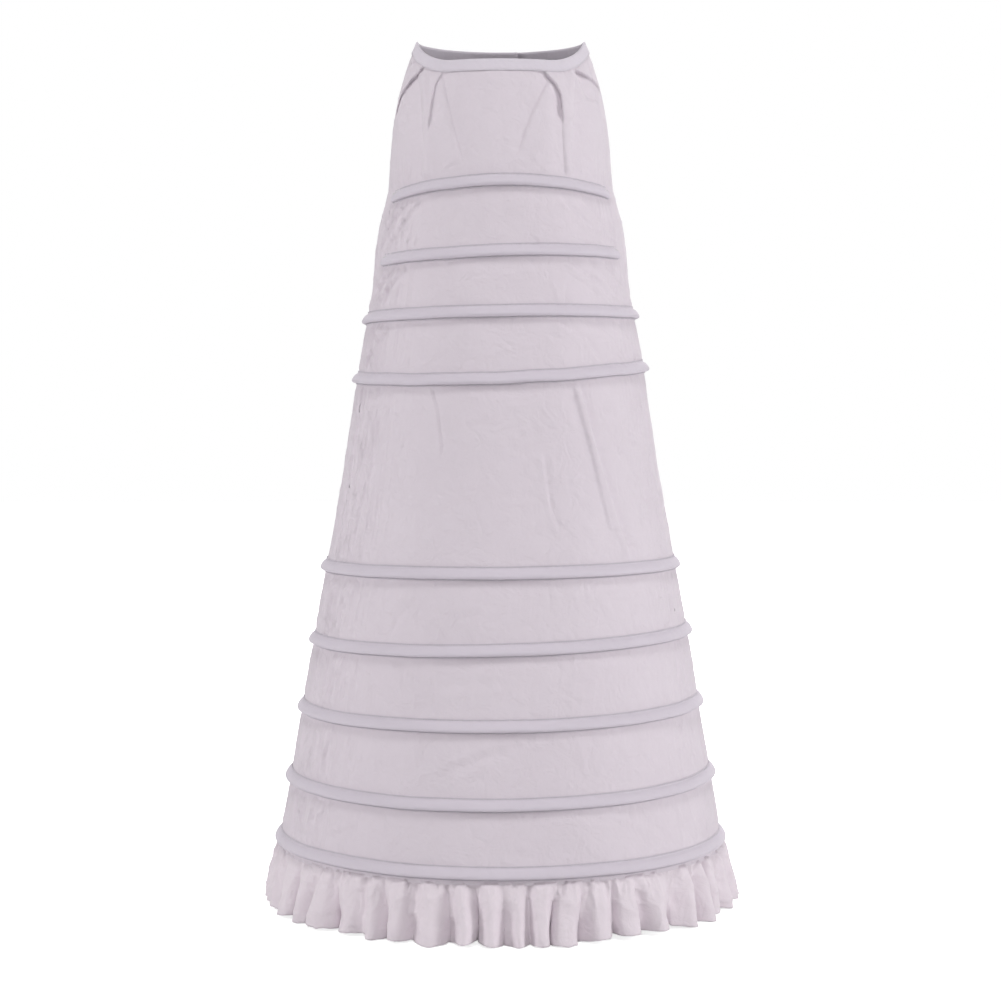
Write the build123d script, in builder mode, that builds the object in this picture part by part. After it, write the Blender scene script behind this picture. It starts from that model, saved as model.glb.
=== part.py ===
from build123d import *
from math import cos, exp, radians, sin
import os

os.makedirs("parts", exist_ok=True)

# Driving dimensions, in millimetres. The hem rests at z = 0 and the front faces -Y.
hem_radius = 294.2
flare_per_mm = 0.1708
cloth = 1.6

ruffle_seam_z = 70.0
yoke_z = 905.0
waist_side_z = 1085.0
waist_radius = 105.0
waist_front_depth = 76.0
waist_back_depth = 84.0
waist_front_dip = 35.0
dip_half_angle = 30.0
dip_run_angle = 60.0
hip_curve = 2.3
seat_curve = 1.5
band_height = 15.0
band_thickness = 2.8
band_lap_angle = 12
band_lap_run = 18.0
seam_gap = 0.1
seam_level = waist_side_z - band_height

hoop_heights = [891.0, 811.5, 737.0, 662.0, 426.0, 337.5, 250.0, 161.5, 83.0]
short_hoops = 2
side_seam_angle = 68

# A casing is a strip that arches over its hoop: its half heights, and how far it stands out.
casing_rise = 9.0
casing_drop = 8.4
casing_shoulder = 4.5
casing_belly = 5.0
casing_depth = 6.4
casing_cloth = 1.1
casing_foot = 2.2

steel_height = 8.0
steel_thickness = 1.6
sleeve_wall = 0.7
joiner_half_angle = 4.0
tip_length_angle = 4.0

pleat_angles = [29.0, 46.0]
pleat_ridge = 5.5
pleat_groove = 4.0
pleat_width = 3.2
pleat_spread = 6.0
fold_shares = [0.25, 0.5, 0.75, 1.0]
fold_fade = 1.2
gather_count = 34
gather_depth = 3.2
gather_run_side = 15.0
gather_run_back = 12.0
slit_half_angle = 0.6

ruffle_waves = 48
ruffle_steps_per_wave = 6
ruffle_top_wave = 1.8
ruffle_hem_wave = 7.5
ruffle_wall = 2.0
ruffle_rows = [0.0, 0.55, 1.0]
wave_crowding = [(4, 0.9), (12, 0.6)]
wave_size_mean = 0.8
wave_size_slow = 0.2
wave_size_quick = 0.15

button_diameter = 11.0
button_thickness = 2.4
button_hole_diameter = 1.3
button_hole_spacing = 3.0

facet_angle = 2
back_facet_angle = 6


def radius_at(z):
    """Radius of the straight flare at height z."""
    return hem_radius - flare_per_mm * z


def plan_point(angle, z, grow):
    """A point of the upper outline; angle 0 is the centre front and 90 is on +X."""
    up = max(0.0, (z - yoke_z) / (waist_side_z - yoke_z))
    waist_depth = waist_front_depth if abs(angle) <= 90 else waist_back_depth
    below = radius_at(min(z, yoke_z))
    width = below - (below - waist_radius) * up**hip_curve
    depth = below - (below - waist_depth) * up**seat_curve
    return ((width + grow) * sin(radians(angle)), -(depth + grow) * cos(radians(angle)), z)


def bump(angle, centre, width):
    """A smooth ridge across one angle."""
    return exp(-(((angle - centre) / width) ** 2))


def fold(angle, share):
    """How far the pleats and back gathers push the cloth out; share is 1 at the waist seam."""
    side = abs(angle)
    out = 0.0
    for pleat in pleat_angles:
        centre = pleat + pleat_spread * (1 - share)
        out += pleat_ridge * bump(side, centre, pleat_width)
        out -= pleat_groove * bump(side, centre + 2 * pleat_width, pleat_width)
    if side > 90:
        gathered = min(1.0, (side - 90) / gather_run_side) * min(1.0, (180 - side) / gather_run_back)
        out += gather_depth * gathered * cos(radians(gather_count * side))
    return out * share**fold_fade


def waist_line(angle, level):
    """Height of a line that dips at the centre front and is level elsewhere."""
    turn = min(1.0, max(0.0, (abs(angle) - dip_half_angle) / dip_run_angle))
    return level - waist_front_dip * (1 - 3 * turn**2 + 2 * turn**3)


def lap(angle):
    """How far the band's outer end stands out where it laps over the inner end."""
    start = 180 - band_lap_angle - band_lap_run
    return (band_thickness + seam_gap) * min(1.0, max(0.0, (angle - start) / band_lap_run))


def facets(a, b, c, d):
    """Two flat triangles for one cell of folded cloth."""
    return [Face(Wire.make_polygon([a, b, c])), Face(Wire.make_polygon([a, c, d]))]


def cloth_solid(outer, inner, closed):
    """A solid sheet between two grids of points, given in rows from the bottom up."""
    columns = len(outer[0])
    cells = [(i, (i + 1) % columns) for i in range(columns if closed else columns - 1)]
    faces = []
    for row in range(len(outer) - 1):
        low_out, high_out, low_in, high_in = outer[row], outer[row + 1], inner[row], inner[row + 1]
        for i, j in cells:
            faces += facets(low_out[i], low_out[j], high_out[j], high_out[i])
            faces += facets(low_in[j], low_in[i], high_in[i], high_in[j])
        if not closed:
            faces += facets(low_in[0], low_out[0], high_out[0], high_in[0])
            faces += facets(low_out[-1], low_in[-1], high_in[-1], high_out[-1])
    for i, j in cells:
        faces += facets(inner[0][i], inner[0][j], outer[0][j], outer[0][i])
        faces += facets(outer[-1][i], outer[-1][j], inner[-1][j], inner[-1][i])
    return Solid(Shell(faces))


def panel_grid(start_angle, end_angle, last_angle, grow):
    """Rows of points over one gore: a straight flare, then the folds up to the waist seam."""
    angles = list(range(start_angle, end_angle, facet_angle))
    rows = [[plan_point(a, z, grow) for a in [*angles, end_angle]] for z in (ruffle_seam_z, yoke_z)]
    for share in fold_shares:
        row = []
        for angle in [*angles, last_angle]:
            z = yoke_z + share * (waist_line(angle, seam_level - seam_gap) - yoke_z)
            row.append(plan_point(angle, z, grow + fold(angle, share)))
        rows.append(row)
    return rows


def ruffle_grid(grow):
    """Rows of points round the gathered strip, from the hem up; the folds are uneven."""
    seam_radius = radius_at(ruffle_seam_z) - cloth / 2
    rows = []
    steps = ruffle_waves * ruffle_steps_per_wave
    for up in ruffle_rows:
        mean = hem_radius + (seam_radius - hem_radius) * up
        wave = ruffle_hem_wave + (ruffle_top_wave - ruffle_hem_wave) * up
        row = []
        for i in range(steps):
            turn = radians(360.0 * i / steps)
            phase = ruffle_waves * turn
            phase += sum(amount * sin(count * turn) for count, amount in wave_crowding)
            size = wave_size_mean + wave_size_slow * cos(8 * turn) + wave_size_quick * sin(20 * turn)
            radius = mean + grow + wave * size * sin(phase)
            row.append((radius * sin(turn), -radius * cos(turn), ruffle_seam_z * up))
        rows.append(row)
    return rows


def round_piece(profile, start_angle, end_angle):
    """Turns a profile of (radius, height) about the skirt's axis between two angles."""
    with BuildPart() as piece:
        with BuildSketch(Plane.XZ.rotated((0, 0, start_angle - 90.0))):
            with BuildLine():
                Polyline(profile, close=True)
            make_face()
        revolve(axis=Axis.Z, revolution_arc=end_angle - start_angle)
    return piece.part


def layer(bottom, top, inner, outer):
    """The profile of a layer that follows the flare between two heights."""
    return [
        (radius_at(bottom) + inner, bottom),
        (radius_at(bottom) + outer, bottom),
        (radius_at(top) + outer, top),
        (radius_at(top) + inner, top),
    ]


def casing_profile(z):
    """The section of a casing strip: two stitched feet and an arch over the hoop."""
    inside = casing_depth - casing_cloth
    corners = [
        (casing_rise, 0.0),
        (casing_shoulder, casing_depth),
        (-casing_belly, casing_depth),
        (-casing_drop, 0.0),
        (-casing_drop + casing_foot, 0.0),
        (-casing_belly + casing_cloth, inside),
        (casing_shoulder - casing_cloth, inside),
        (casing_rise - casing_foot, 0.0),
    ]
    return [(radius_at(z + up) + out, z + up) for up, out in corners]


# The gores: one front panel, and two back panels that meet at the centre back.
front_grids = [panel_grid(-side_seam_angle, side_seam_angle, side_seam_angle, g) for g in (0.0, -cloth)]
with BuildPart() as front_panel:
    add(cloth_solid(*front_grids, closed=False))
front_panel.part.label = "front_panel"
export_step(front_panel.part, "parts/front_panel.step")

# The centre back seam opens as a slit towards the waist, so that the skirt can be put on.
left_grids = [panel_grid(side_seam_angle, 180, 180 - slit_half_angle, g) for g in (0.0, -cloth)]
with BuildPart() as back_left_panel:
    add(cloth_solid(*left_grids, closed=False))
back_left_panel.part.label = "back_left_panel"
export_step(back_left_panel.part, "parts/back_left_panel.step")

with BuildPart() as back_right_panel:
    mirror(back_left_panel.part, about=Plane.YZ)
back_right_panel.part.label = "back_right_panel"
export_step(back_right_panel.part, "parts/back_right_panel.step")

# The waistband sits on the gathered top edge of the panels, and its ends lap at the centre back.
lap_start = -180 - band_lap_angle
lap_end = 180 + band_lap_angle
band_angles = [
    *range(lap_start, -90, back_facet_angle),
    *range(-90, 90, facet_angle),
    *range(90, lap_end + 1, back_facet_angle),
]
band_grids = []
for grow in (band_thickness / 2, -band_thickness / 2):
    low_edge = [plan_point(a, waist_line(a, seam_level), grow + lap(a)) for a in band_angles]
    top_edge = [plan_point(a, waist_line(a, waist_side_z), grow + lap(a)) for a in band_angles]
    band_grids.append([low_edge, top_edge])
with BuildPart() as waistband:
    add(cloth_solid(*band_grids, closed=False))
waistband.part.label = "waistband"
export_step(waistband.part, "parts/waistband.step")

# One button closes the band at the centre back; its back face rests on the outer end.
button_z = waist_side_z - band_height / 2
button_y = plan_point(180.0, seam_level, band_thickness / 2 + lap(180.0))[1]
with BuildPart() as waist_button:
    with BuildSketch(Plane.XZ.offset(-button_y - button_thickness)):
        with Locations((0, button_z)):
            Circle(button_diameter / 2)
            with GridLocations(button_hole_spacing, button_hole_spacing, 2, 2):
                Circle(button_hole_diameter / 2, mode=Mode.SUBTRACT)
    extrude(amount=button_thickness)
waist_button.part.label = "waist_button"
export_step(waist_button.part, "parts/waist_button.step")

# Casings, hoops, joiners and tips: the top hoops are short and end at the side seams.
steel_face = sleeve_wall + steel_thickness
for number, z in enumerate(hoop_heights, start=1):
    short = number <= short_hoops
    start = -side_seam_angle if short else 0.0
    end = side_seam_angle if short else 360.0
    with BuildPart() as casing:
        add(round_piece(casing_profile(z), start, end))
    casing.part.label = f"casing_{number}"
    export_step(casing.part, f"parts/casing_{number}.step")

    bottom = z - steel_height / 2
    top = z + steel_height / 2
    steel = layer(bottom, top, sleeve_wall, steel_face)
    with BuildPart() as hoop_steel:
        add(round_piece(steel, start, end))
    hoop_steel.part.label = f"hoop_steel_{number}"
    export_step(hoop_steel.part, f"parts/hoop_steel_{number}.step")

    sleeve = layer(bottom - sleeve_wall, top + sleeve_wall, 0.0, steel_face + sleeve_wall)
    bore = layer(bottom, top, sleeve_wall, steel_face)
    if short:
        ends = [(start, start + tip_length_angle), (end - tip_length_angle, end)]
        name = f"hoop_tips_{number}"
    else:
        ends = [(180.0 - joiner_half_angle, 180.0 + joiner_half_angle)]
        name = f"hoop_joiner_{number}"
    with BuildPart() as sleeves:
        for first, last in ends:
            add(round_piece(sleeve, first, last))
        for first, last in ends:
            add(round_piece(bore, first, last), mode=Mode.SUBTRACT)
    sleeves.part.label = name
    export_step(sleeves.part, f"parts/{name}.step")

# The ruffle hangs from the bottom edge of the panels and its hem rests on the ground.
ruffle_grids = [ruffle_grid(grow) for grow in (ruffle_wall / 2, -ruffle_wall / 2)]
with BuildPart() as ruffle:
    add(cloth_solid(*ruffle_grids, closed=True))
ruffle.part.label = "ruffle"
export_step(ruffle.part, "parts/ruffle.step")
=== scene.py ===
# %% [markdown]
# # A hooped cotton petticoat
# The real thing is a long skirt of thin white cotton. Nine flat steel hoops sit in cotton
# casings that are stitched to its outside, and a gathered ruffle closes the hem. This lesson
# dresses the rigid model with cloth that has creases, pleats, gathers and stitches.

import math

import bpy
import numpy as np
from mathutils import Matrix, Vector


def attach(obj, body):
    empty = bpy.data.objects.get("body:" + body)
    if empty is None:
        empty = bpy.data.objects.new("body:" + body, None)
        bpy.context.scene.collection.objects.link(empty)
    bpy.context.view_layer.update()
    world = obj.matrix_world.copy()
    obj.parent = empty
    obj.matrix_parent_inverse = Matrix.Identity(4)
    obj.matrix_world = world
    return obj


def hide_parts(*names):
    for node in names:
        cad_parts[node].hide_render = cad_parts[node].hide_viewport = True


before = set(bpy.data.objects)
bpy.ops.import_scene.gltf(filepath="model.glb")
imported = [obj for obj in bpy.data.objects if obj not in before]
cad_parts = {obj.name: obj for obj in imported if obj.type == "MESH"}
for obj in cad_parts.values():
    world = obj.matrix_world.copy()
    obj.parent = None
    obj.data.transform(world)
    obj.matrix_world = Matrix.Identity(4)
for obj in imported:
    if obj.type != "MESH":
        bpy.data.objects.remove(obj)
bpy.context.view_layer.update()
MM = 0.001

# %% [markdown]
# ## Sizes
# A skirt like this is a straight flare with a curved hip part on top. Everything below is
# worked out from a few sizes, so that cloth, casings and hoops always agree.

# %% Driving sizes, in metres and degrees
HEM_RADIUS = 0.2942
FLARE = 0.1708
RUFFLE_SEAM_Z = 0.070
YOKE_Z = 0.905
WAIST_Z = 1.085
WAIST_RADIUS, WAIST_FRONT, WAIST_BACK = 0.105, 0.076, 0.084
HIP_CURVE, SEAT_CURVE = 2.3, 1.5
FRONT_DIP = 0.035
DIP_HALF_ANGLE, DIP_RUN = 30.0, 60.0
BAND_HEIGHT, BAND_THICKNESS = 0.015, 0.0028
SEAM_Z = WAIST_Z - BAND_HEIGHT
SEAM_GAP = 0.0001
SIDE_SEAM = 68.0
SLIT_HALF_ANGLE = 0.25
LAP_ANGLE, LAP_RUN = 12.0, 18.0
CLOTH = 0.0005

# Each hoop: height, then how much its front, its sides and its left-to-right hang differ.
HOOPS = [
    (0.891, 0.0060, -0.0080, 0.0022),
    (0.8115, 0.0000, -0.0023, 0.0048),
    (0.737, 0.0013, 0.0012, 0.0032),
    (0.662, -0.0040, 0.0062, 0.0073),
    (0.426, 0.0010, 0.0008, 0.0019),
    (0.3375, 0.0000, 0.0015, 0.0060),
    (0.250, 0.0000, 0.0018, 0.0035),
    (0.1615, -0.0014, 0.0014, 0.0022),
    (0.083, 0.0000, 0.0000, -0.0003),
]
SHORT_HOOPS = 2
print("hoops:", len(HOOPS), "of which short:", SHORT_HOOPS)

# %% [markdown]
# ## The camera
# The photograph was taken level with the skirt's upper half, from about 2.9 m. Setting the
# camera first lets later steps place a crease by where the photograph shows it.

# %% Camera
PHOTO_SIZE = 1001
FOCAL_PIXELS = 2242.0
CAMERA_DISTANCE = 2.857
CAMERA_HEIGHT = 0.622
CAMERA_PITCH = 0.041
AXIS_PIXEL = 501.0
SENSOR = 36.0
VIEW_REACH = 60.0

camera_data = bpy.data.cameras.new("camera")
camera_data.sensor_width = SENSOR
camera_data.lens = FOCAL_PIXELS / PHOTO_SIZE * SENSOR
camera_data.clip_end = VIEW_REACH
camera = bpy.data.objects.new("camera", camera_data)
camera.location = (0.0, -CAMERA_DISTANCE, CAMERA_HEIGHT)
camera.rotation_euler = (math.pi / 2 - CAMERA_PITCH, 0.0, 0.0)
bpy.context.scene.collection.objects.link(camera)
bpy.context.scene.camera = camera
bpy.context.scene.view_settings.view_transform = "Standard"
print("lens:", round(camera_data.lens, 1), "mm")

# %% [markdown]
# ## The skirt's shape as a formula
# An angle goes round the skirt, 0 at the centre front and 90 at the right side of the
# picture. The same functions give every piece its place, so nothing floats or sinks.

# %% Shape functions
CURVE_LIMIT = 1.2
LEVEL_Z = 1.0
FRONT_HANG_POWER = 1.5


def ease(ramp):
    """Turns a straight ramp from 0 to 1 into a smooth one."""
    return ramp * ramp * (3 - 2 * ramp)


def flare_radius(z):
    return HEM_RADIUS - FLARE * z


def plan(angle, z, out=0.0):
    """Points of the skirt's outline, for arrays of angles in degrees and of heights."""
    up = np.clip((z - YOKE_Z) / (WAIST_Z - YOKE_Z), 0.0, CURVE_LIMIT)
    below = flare_radius(np.minimum(z, YOKE_Z))
    turn = np.radians(angle)
    waist_depth = np.where(np.cos(turn) >= 0, WAIST_FRONT, WAIST_BACK)
    width = below - (below - WAIST_RADIUS) * up**HIP_CURVE
    depth = below - (below - waist_depth) * up**SEAT_CURVE
    return (width + out) * np.sin(turn), -(depth + out) * np.cos(turn)


def waist_line(angle, level):
    """A level that dips at the centre front, as the waist does."""
    turn = np.clip((np.abs(angle) - DIP_HALF_ANGLE) / DIP_RUN, 0.0, 1.0)
    return level - FRONT_DIP * (1 - ease(turn))


def hang(angle, z):
    """How far the real skirt hangs off level: read at the hoops and blended between them."""
    heights = np.array([h[0] for h in HOOPS][::-1] + [LEVEL_Z])
    front, side, lean = (np.array([h[k] for h in HOOPS][::-1] + [0.0]) for k in (1, 2, 3))
    turn = np.radians(angle)
    ahead = np.clip(np.cos(turn), 0.0, 1.0) ** FRONT_HANG_POWER
    f, s, t = (np.interp(z, heights, values) for values in (front, side, lean))
    return s + (f - s) * ahead + t * np.sin(turn)


print("waist at the centre front:", round(float(waist_line(0.0, WAIST_Z)) / MM), "mm")

# %% [markdown]
# A pixel of the photograph is a ray from the camera. The ray meets the skirt at a depth that
# is not known at first, so the depth is guessed and corrected a few times.

# %% From a pixel to a place on the skirt
SEARCH_ROUNDS = 6
OUTERMOST_SHARE = 0.99


def on_skirt(u, v):
    """The angle and height on the skirt's front of a place in the photograph."""
    depth, x, z = CAMERA_DISTANCE, 0.0, 0.0
    for _ in range(SEARCH_ROUNDS):
        x = (u - AXIS_PIXEL) * depth / FOCAL_PIXELS
        rise = (PHOTO_SIZE / 2 - v) * depth / FOCAL_PIXELS
        z = CAMERA_HEIGHT + rise - CAMERA_PITCH * depth
        share = x / float(plan(90.0, z)[0])
        share = max(-OUTERMOST_SHARE, min(OUTERMOST_SHARE, share))
        angle = math.degrees(math.asin(share))
        depth = CAMERA_DISTANCE + float(plan(angle, z)[1])
    return angle, z - float(hang(angle, z))


print("a mid-front pixel lies at", [round(a, 3) for a in on_skirt(501, 480)])

# %% [markdown]
# ## Crumple
# Cotton that has been folded away keeps soft dents and fine creases. A seeded random lattice,
# smoothed between its points, gives the same crumple at every run.

# %% Smooth random fields
CREASE_SHARPNESS = 9.0


def field(a, b, cells_a, cells_b, seed):
    """Smooth noise from -1 to 1 on coordinates a and b, both from 0 to 1; a wraps round."""
    lattice = np.random.default_rng(seed).uniform(-1, 1, (cells_a, cells_b + 2))
    x, y = (a % 1.0) * cells_a, np.clip(b, 0, 1) * cells_b
    i, j = np.floor(x).astype(int), np.floor(y).astype(int)
    fx, fy = ease(x - i), ease(y - j)
    k = (i + 1) % cells_a
    i = i % cells_a
    low = lattice[i, j] * (1 - fx) + lattice[k, j] * fx
    high = lattice[i, j + 1] * (1 - fx) + lattice[k, j + 1] * fx
    return low * (1 - fy) + high * fy


def ridges(a, b, cells_a, cells_b, seed):
    """Sharp creases: the lines where a smooth field crosses zero."""
    return np.exp(-np.abs(field(a, b, cells_a, cells_b, seed)) * CREASE_SHARPNESS)


sample = np.linspace(0, 1, 5)
print("a few values of the field:", field(sample, sample, 30, 4, seed=1).round(2))

# %% [markdown]
# ## Folds that the photograph shows
# Each fold is a line on the cloth. On its left, looking along it, the cloth stands up in a
# lip, and on its right it drops into a groove. A pleat is a high lip with a hard edge, and a
# drag line between two hoops is a low and soft one. The lines are drawn in pixels.

# %% Pleats: points in pixels, then edge, lip height and width, groove depth and width in mm
PLEATS = {
    "left outer pleat": (
        [(399, 112), (403, 99), (413, 83), (423, 72), (433, 66)], 1.0, 5.0, 7.0, 3.4, 8.0
    ),
    "left outer pleat, rolled top": ([(404, 76), (411, 67), (421, 64)], 0.9, 2.4, 3.5, 1.8, 3.0),
    "hollow between the left pleats": (
        [(419, 80), (422, 104), (424, 136), (423, 180)], 2.2, 3.4, 12.0, 3.6, 14.0
    ),
    "left inner pleat": (
        [(431, 122), (433, 106), (437, 87), (443, 77), (449, 72), (456, 69)], 1.4, 1.8, 7.0, 2.0, 8.0
    ),
    "left inner pull": ([(462, 156), (452, 118), (445, 85)], 3.5, 1.8, 12.0, 1.4, 9.0),
    "left hip hollow": ([(407, 112), (406, 146), (403, 176)], 3.0, 2.2, 9.0, 1.6, 6.0),
    "right inner pleat": (
        [(539, 69), (547, 78), (555, 87), (560, 98), (561, 112)], 1.1, 3.8, 11.0, 2.8, 9.0
    ),
    "right inner pleat, fading down": ([(561, 112), (563, 146), (565, 184)], 5.0, 2.2, 9.0, 1.3, 13.0),
    "hollow between the right pleats": (
        [(573, 178), (572, 146), (574, 108), (575, 84)], 3.0, 2.4, 7.0, 3.0, 13.0
    ),
    "right outer pleat, inner edge": (
        [(592, 102), (586, 100), (582, 92), (579, 84), (575, 73)], 1.2, 2.6, 8.0, 5.0, 9.0
    ),
    "right outer pleat": ([(562, 68), (578, 75), (592, 83), (602, 94)], 1.1, 4.0, 7.0, 2.8, 5.0),
    "right inner pull": ([(545, 88), (533, 112), (521, 148)], 3.5, 2.0, 12.0, 1.6, 10.0),
    "right hip hollow": ([(595, 182), (598, 146)], 2.0, 2.2, 6.0, 1.2, 6.0),
}
print("pleat lines:", len(PLEATS))

# %% Drag lines: points in pixels, then lip height and width, groove depth and width in mm
DRAGS = {
    "hoops 1 and 2": [
        ([(606, 245), (590, 230), (566, 205)], 1.8, 5.0, 1.4, 5.0),
        ([(612, 238), (602, 224), (585, 205)], 1.6, 4.0, 1.2, 4.0),
        ([(384, 246), (392, 226), (408, 204)], 1.5, 4.0, 1.4, 4.0),
        ([(390, 248), (402, 228), (418, 206)], 1.5, 5.0, 1.2, 5.0),
        ([(386, 222), (392, 236), (389, 246)], 1.2, 3.0, 1.0, 3.0),
    ],
    "hoops 2 and 3": [
        ([(612, 305), (596, 284), (568, 262)], 2.0, 5.0, 1.5, 5.0),
        ([(622, 306), (608, 284), (588, 262)], 1.8, 4.0, 1.4, 4.0),
        ([(630, 300), (618, 282), (604, 266)], 1.4, 4.0, 1.2, 4.0),
        ([(378, 308), (390, 288), (408, 266)], 1.5, 5.0, 1.2, 5.0),
        ([(372, 306), (380, 290), (390, 274)], 1.4, 4.0, 1.2, 4.0),
    ],
    "hoops 3 and 4": [
        ([(604, 368), (588, 342), (558, 322)], 1.6, 5.0, 1.2, 5.0),
        ([(624, 362), (612, 338), (592, 320)], 1.5, 4.0, 1.2, 4.0),
        ([(636, 360), (628, 340), (616, 322)], 1.2, 4.0, 1.0, 4.0),
        ([(366, 366), (376, 346), (392, 326)], 1.4, 4.0, 1.2, 4.0),
    ],
    "hoops 4 and 5": [
        ([(632, 556), (620, 520), (600, 455), (583, 394)], 2.2, 8.0, 1.2, 5.0),
        ([(575, 394), (592, 455), (608, 520)], 0.9, 8.0, 0.6, 8.0),
        ([(655, 532), (640, 480), (613, 446)], 1.4, 7.0, 1.0, 5.0),
        ([(642, 444), (630, 432), (620, 424)], 1.4, 4.0, 1.0, 4.0),
        ([(641, 450), (626, 446), (610, 443)], 1.0, 4.0, 0.8, 4.0),
        ([(582, 402), (550, 400), (535, 396)], 1.3, 4.0, 1.0, 4.0),
        ([(526, 435), (548, 428), (572, 420)], 0.9, 4.0, 0.7, 4.0),
        ([(541, 496), (520, 500), (500, 500)], 0.9, 4.0, 0.7, 4.0),
        ([(573, 543), (560, 530), (552, 510), (545, 462)], 0.9, 5.0, 0.7, 5.0),
        ([(572, 486), (598, 478)], 0.9, 4.0, 0.7, 4.0),
        ([(442, 445), (438, 410), (434, 396)], 1.1, 4.0, 0.8, 4.0),
    ],
    "hoops 5 and 6": [
        ([(660, 592), (610, 600), (560, 590)], 1.0, 6.0, 0.8, 6.0),
        ([(545, 640), (570, 606), (590, 590)], 0.8, 6.0, 0.6, 6.0),
        ([(420, 600), (400, 620), (390, 636)], 0.9, 5.0, 0.7, 5.0),
    ],
    "hoops 6 and 7": [
        ([(500, 688), (440, 690), (398, 668)], 1.0, 6.0, 0.8, 6.0),
        ([(620, 690), (640, 668), (650, 650)], 1.0, 5.0, 0.8, 5.0),
    ],
    "hoops 7 and 8": [
        ([(450, 770), (480, 758), (515, 748)], 1.2, 6.0, 1.0, 6.0),
        ([(690, 750), (676, 724), (650, 708)], 1.2, 5.0, 0.9, 5.0),
    ],
    "hoops 8 and 9": [
        ([(665, 842), (640, 820), (600, 808)], 1.5, 7.0, 1.0, 6.0),
        ([(300, 830), (330, 838), (352, 830)], 1.0, 5.0, 0.8, 5.0),
    ],
}
DRAG_EDGE = 1.6
print("drag lines between", {place: len(lines) for place, lines in DRAGS.items()})

# %% [markdown]
# One function gives the height of a fold anywhere on the front. For each place it finds the
# nearest stretch of the line, and on which side of it the place lies.

# %% Fold function
FAR_AWAY = 9.0
TAPER = 0.010


def lies_beside(across, z, start, end):
    """Distance from one stretch of a line, distance to its left, and shares run past its ends."""
    (ax, az), (bx, bz) = start, end
    dx, dz = bx - ax, bz - az
    length = math.hypot(dx, dz)
    share = ((across - ax) * dx + (z - az) * dz) / length**2
    held = np.clip(share, 0, 1)
    gap = np.hypot(across - ax - held * dx, z - az - held * dz)
    turn = (dx * (z - az) - dz * (across - ax)) / length
    return gap, turn, -share * length, (share - 1) * length


def fold(across, z, points, edge, lip, lip_width, groove, groove_width):
    """Height of one fold at places given by distance across the front and by height."""
    spots = []
    for u, v in points:
        angle, height = on_skirt(u, v)
        spots.append((float(plan(angle, height)[0]), height))
    nearest = np.full(z.shape, FAR_AWAY)
    side, past = np.zeros_like(z), np.zeros_like(z)
    stretches = list(zip(spots, spots[1:]))
    for number, (start, end) in enumerate(stretches, start=1):
        gap, turn, before, after = lies_beside(across, z, start, end)
        over = np.maximum(before if number == 1 else 0.0, after if number == len(stretches) else 0.0)
        closer = gap < nearest
        nearest = np.where(closer, gap, nearest)
        side = np.where(closer, turn, side)
        past = np.where(closer, np.maximum(over, 0), past)
    up = np.maximum(side, 0)
    rise = 1 - np.exp(-up / (edge * MM))
    left = MM * (lip * rise * np.exp(-((up / (lip_width * MM)) ** 2)) - groove * (1 - rise))
    right = -MM * groove * np.exp(-((side / (groove_width * MM)) ** 2))
    return np.where(side > 0, left, right) * np.exp(-((past / TAPER) ** 2))


beside = fold(np.array([0.0]), np.array([0.5]), [(480, 500), (520, 500)], DRAG_EDGE, 2.0, 8.0, 1.0, 5.0)
print("height 0.5 m up, beside a test line:", (beside / MM).round(2), "mm")

# %% [markdown]
# A casing holds the cloth against its hoop, and the waistband presses it flat, so the folds
# die out near both.

# %% Where the cloth is held
HELD, HOLD_POWER = 0.0135, 6
PINCHED, PINCH_RUN, PINCH_CURVE = 0.10, 0.006, 0.8


def near_hoops(angle, z):
    """1 on a hoop and 0 between hoops, because a casing holds the cloth smooth."""
    held = np.zeros_like(z)
    for number, hoop in enumerate(HOOPS):
        here = np.exp(-(((z - hoop[0]) / HELD) ** HOLD_POWER))
        if number < SHORT_HOOPS:
            here = here * (np.abs(angle) < SIDE_SEAM + 1)
        held = np.maximum(held, here)
    return held


def band_pinch(angle, z):
    """The band presses the cloth flat: PINCHED at the waist seam and 1 a little below it."""
    below = (waist_line(angle, SEAM_Z) - z) / PINCH_RUN
    return PINCHED + (1 - PINCHED) * np.clip(below, 0, 1) ** PINCH_CURVE


print("held on hoop 4 and free below it:", near_hoops(np.zeros(2), np.array([0.662, 0.55])).round(2))

# %% [markdown]
# ## The panels
# The body of the skirt is three gores. A grid of points follows the shape functions. Drag
# lines, gathers and crumple move it in and out, and pleats move it towards the front. The
# gores stay one layer of faces, which is enough where hardly an edge shows. Pushing points by
# a formula is quicker than a cloth simulation and keeps each crease where the photo has it.

# %% Pleats and drag lines on the gores
PLEAT_STRENGTH, PLEAT_TURN = 1.2, 0.2
DRAG_STRENGTH = 1.6


def pleats(angle, z):
    """How far the pleats stand towards the front, in metres."""
    across = plan(angle, z)[0]
    total = sum(fold(across, z, *line) for line in PLEATS.values())
    front = np.clip(np.cos(np.radians(angle)) / PLEAT_TURN, 0, 1)
    return total * front * (1 - near_hoops(angle, z)) * PLEAT_STRENGTH * band_pinch(angle, z)


def drag_lines(across, z, front):
    """Soft pulled lines between the hoops of the front."""
    total = np.zeros_like(z)
    for lines in DRAGS.values():
        for points, *sizes in lines:
            total += fold(across, z, points, DRAG_EDGE, *sizes)
    return np.where(front, total, 0.0) * DRAG_STRENGTH


# %% [markdown]
# The rest is spread all over: sharp upright creases beside the side seams, soft dents, and
# fine creases in patches that run four ways, as cloth keeps them from being folded.

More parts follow.
